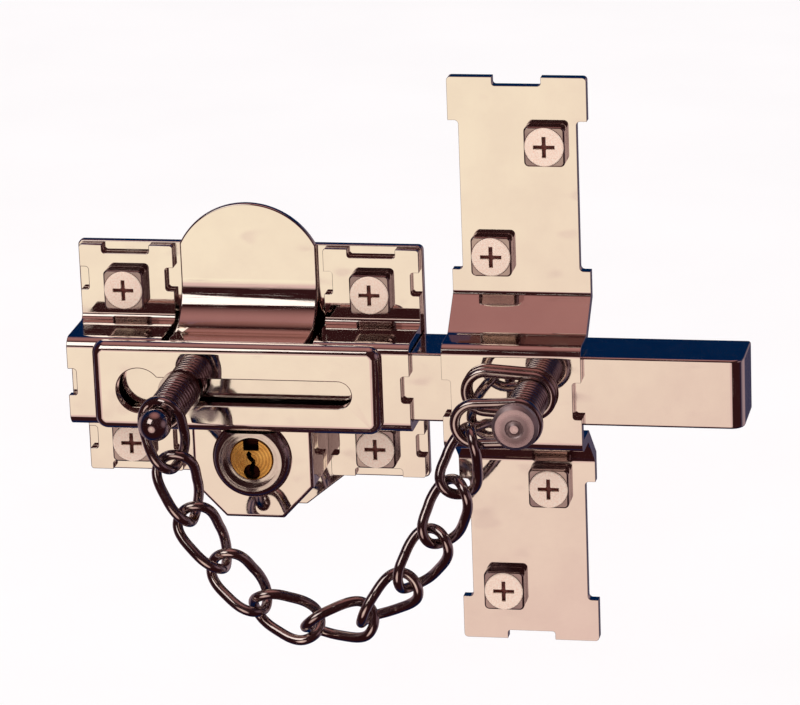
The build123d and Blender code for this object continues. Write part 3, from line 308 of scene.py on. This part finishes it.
def add_piece(name, shape, material, body):
    """Turns a finished bmesh into a smooth-shaded piece that moves with a body."""
    mesh = bpy.data.meshes.new(name)
    shape.to_mesh(mesh)
    shape.free()
    for face in mesh.polygons:
        face.use_smooth = True
    mesh.materials.append(material)
    piece = bpy.data.objects.new(name, mesh)
    bpy.context.scene.collection.objects.link(piece)
    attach(piece, body)
    return piece


for name, places, finish in (
    ("body_screw_threads", BODY_SCREWS, body_screw_finish),
    ("keeper_screw_threads", KEEPER_SCREWS, keeper_screw_finish),
):
    threads = bmesh.new()
    for x, z in places:
        ridge = bmesh.ops.create_circle(threads, cap_ends=True, radius=1.0, segments=3)["verts"]
        corners = ((THREAD_IN, -THREAD_WIDE), (THREAD_OUT, 0), (THREAD_IN, THREAD_WIDE))
        for corner, (out_by, along) in zip(ridge, corners):
            corner.co = Vector((x + out_by, THREAD_START + along, z))
        ring = list(ridge) + list({e for v in ridge for e in v.link_edges})
        ring += list({f for v in ridge for f in v.link_faces})
        bmesh.ops.spin(
            threads,
            geom=ring,
            cent=(x, 0, z),
            axis=(0, 1, 0),
            dvec=(0, THREAD_PITCH / TURN_STEPS, 0),
            angle=math.tau * THREAD_TURNS,
            steps=THREAD_TURNS * TURN_STEPS,
        )
    bmesh.ops.recalc_face_normals(threads, faces=threads.faces)
    add_piece(name, threads, finish, "lock_body")

# ---- keeper ----
# One strap of thick strip steel bent over the bolt, its ends notched and its sides relieved,
# buffed and plated like the plates.
buffed("keeper_strap", 0.38 * MM)
finish_with(nickel, "keeper_strap")

# ---- chain, end rings, stud, post and springs ----
# The links are welded steel wire, barrel polished and plated in bulk, so they are a little rougher than the plates;
# their colour is also darkened, a painted shade for the dark surroundings they mirror.
# The weld shows as a bead on one side of each link.
shaded_chain_chrome = polished_metal("shaded_chain_chrome", (0.74, 0.66, 0.63), (0.52, 0.44, 0.43), dull=0.09, wave=10e-6)
links = [f"chain_link_{number:02d}" for number in range(1, 11)]
finish_with(shaded_chain_chrome, *links, "front_end_ring", "rear_end_ring", "chain_stud", "stud_washer")
finish_with(shaded_chain_chrome, "stud_spring", "keeper_spring")

COIL_R = 3.55 * MM
WIRE_R = 0.65 * MM


def end_coil(name, node, y, body):
    """The closed, flat-lying last turn of a coil spring."""
    low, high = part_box(node)
    x, z = (low.x + high.x) / 2, (low.z + high.z) / 2
    turn = bmesh.new()
    bmesh.ops.create_circle(turn, radius=WIRE_R, segments=16)
    bmesh.ops.translate(turn, vec=(COIL_R, 0, 0), verts=turn.verts)
    bmesh.ops.rotate(turn, matrix=Matrix.Rotation(math.radians(0), 3, "X"), verts=turn.verts)
    bmesh.ops.translate(turn, vec=(x, y, z), verts=turn.verts)
    bmesh.ops.spin(
        turn, geom=turn.verts[:] + turn.edges[:], cent=(x, y, z), axis=(0, 1, 0), angle=math.tau, steps=40
    )
    bmesh.ops.remove_doubles(turn, verts=turn.verts, dist=MERGE)
    bmesh.ops.recalc_face_normals(turn, faces=turn.faces)
    return add_piece(name, turn, shaded_chain_chrome, body)


for spring, body in (("stud_spring", "chain_stud"), ("keeper_spring", "lock_body")):
    spring_low, spring_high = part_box(spring)
    end_coil(spring + "_front_coil", spring, spring_low.y + WIRE_R, body)
    end_coil(spring + "_back_coil", spring, spring_high.y - WIRE_R, body)

post_low, post_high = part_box("keeper_post")
post_axis = ((post_low.x + post_high.x) / 2, (post_low.z + post_high.z) / 2)
post_metal = turned_metal(
    "stud_metal", post_axis, (0.84, 0.70, 0.70), (0.70, 0.56, 0.58), 0.26, ring=0.55 * MM, depth=30e-6
)
finish_with(post_metal, "keeper_post")
plain_steel = turned_metal("plain_steel", cylinder_axis, (0.55, 0.53, 0.52), (0.42, 0.40, 0.39), 0.25)
finish_with(plain_steel, "drive_pinion", "plug_clip", "pin_springs")

# ---- floor ----
# A pale matt board well below the lock.
floor_mesh = bpy.data.meshes.new("floor")
shape = bmesh.new()
bmesh.ops.create_circle(shape, cap_ends=True, radius=6.0, segments=64)
bmesh.ops.translate(shape, vec=(0, 0, cad_box[0].z - 0.12), verts=shape.verts)
shape.to_mesh(floor_mesh)
shape.free()
floor = bpy.data.objects.new("floor", floor_mesh)
bpy.context.scene.collection.objects.link(floor)
floor.visible_glossy = False
made, tree, shader = start_material("floor")
tree.links.new(
    ramp(tree, grain(tree, 90 * MM), [(0.3, (0.97, 0.955, 0.96)), (0.7, (0.99, 0.975, 0.98))]),
    shader.inputs["Base Color"],
)
shader.inputs["Roughness"].default_value = 0.9
shader.inputs["Specular IOR Level"].default_value = 0.0
floor_mesh.materials.append(made)

# ---- light ----
# A white room for plain surfaces. What the plating mirrors is a darkened studio with a warm
# card in front, a rosy one overhead, and a blue cloth behind.
world = bpy.data.worlds.new("studio")
bpy.context.scene.world = world
world.use_nodes = True
sky = world.node_tree
sky.nodes.clear()
direction = sky.nodes.new("ShaderNodeTexCoord").outputs["Generated"]


def toward(azimuth, elevation):
    """The unit vector towards a place round the lock: azimuth 0 is straight in front."""
    a, e = math.radians(azimuth), math.radians(elevation)
    return math.sin(a) * math.cos(e), -math.cos(a) * math.cos(e), math.sin(e)


def card(under, centre, inner, outer, colour):
    """Lays a soft-edged round card of one colour over what is there; angles in degrees."""
    dot = sky.nodes.new("ShaderNodeVectorMath")
    dot.operation = "DOT_PRODUCT"
    dot.inputs[1].default_value = toward(*centre)
    sky.links.new(direction, dot.inputs[0])
    cover = span(
        sky,
        dot.outputs["Value"],
        math.cos(math.radians(outer)),
        math.cos(math.radians(inner)),
        0,
        1,
    )
    mix = sky.nodes.new("ShaderNodeMix")
    mix.data_type = "RGBA"
    sky.links.new(cover, mix.inputs["Factor"])
    if isinstance(under, tuple):
        mix.inputs["A"].default_value = (*under, 1)
        mix.inputs[6].default_value = (*under, 1)
    else:
        sky.links.new(under, mix.inputs[6])
    mix.inputs[7].default_value = (*colour, 1)
    return mix.outputs[2]


mirrored = card((0.030, 0.008, 0.009), (180, 0), 70, 100, (0.0, 0.012, 0.055))
mirrored = card(mirrored, (135, -12), 12, 40, (0.34, 0.24, 0.26))
mirrored = card(mirrored, (-135, -12), 12, 40, (0.34, 0.24, 0.26))
mirrored = card(mirrored, (80, 10), 8, 26, (0.20, 0.12, 0.14))
mirrored = card(mirrored, (0, 90), 6, 34, (0.40, 0.185, 0.17))
mirrored = card(mirrored, (-12, -16), 19, 25, (0.76, 0.54, 0.50))
mirrored = card(mirrored, (-14, -12), 1, 11, (0.99, 0.89, 0.70))
path = sky.nodes.new("ShaderNodeLightPath")
mirror_light = sky.nodes.new("ShaderNodeBackground")
sky.links.new(mirrored, mirror_light.inputs["Color"])
room_light = sky.nodes.new("ShaderNodeBackground")
room_light.inputs["Color"].default_value = (1.0, 0.985, 0.99, 1)
choose = sky.nodes.new("ShaderNodeMixShader")
out = sky.nodes.new("ShaderNodeOutputWorld")
sky.links.new(path.outputs["Is Glossy Ray"], choose.inputs["Fac"])
sky.links.new(room_light.outputs["Background"], choose.inputs[1])
sky.links.new(mirror_light.outputs["Background"], choose.inputs[2])
sky.links.new(choose.outputs["Shader"], out.inputs["Surface"])

lamp = bpy.data.lights.new("window", "AREA")
lamp.shape = "RECTANGLE"
lamp.size = 0.6
lamp.size_y = 0.6
lamp.energy = 1.5
lamp.color = (1.0, 0.93, 0.88)
window = bpy.data.objects.new("window", lamp)
window.location = (-0.5, -0.8, 0.7)
window.rotation_euler = Vector((0.5, 0.8, -0.7)).to_track_quat("-Z", "Y").to_euler()
bpy.context.scene.collection.objects.link(window)

# ---- camera ----
# In front of the lock, a little to its right and above it, with a long lens.
CAMERA_AT = Vector((0.2330, -0.9854, 0.3196))
CAMERA_TURN = math.radians(11.44)
CAMERA_TILT = math.radians(17.50)
CAMERA_ROLL = math.radians(-2.14)
lens = bpy.data.cameras.new("camera")
lens.sensor_width = 36.0
lens.lens = 208.75
camera = bpy.data.objects.new("camera", lens)
bpy.context.scene.collection.objects.link(camera)
back = Vector(
    (
        math.sin(CAMERA_TURN) * math.cos(CAMERA_TILT),
        -math.cos(CAMERA_TURN) * math.cos(CAMERA_TILT),
        math.sin(CAMERA_TILT),
    )
)
right = Vector((math.cos(CAMERA_TURN), math.sin(CAMERA_TURN), 0))
up = back.cross(right)
rolled_right = right * math.cos(CAMERA_ROLL) + up * math.sin(CAMERA_ROLL)
rolled_up = -right * math.sin(CAMERA_ROLL) + up * math.cos(CAMERA_ROLL)
turn = Matrix((rolled_right, rolled_up, back)).transposed().to_4x4()
camera.matrix_world = Matrix.Translation(CAMERA_AT) @ turn
bpy.context.scene.camera = camera
bpy.context.scene.view_settings.view_transform = "Standard"
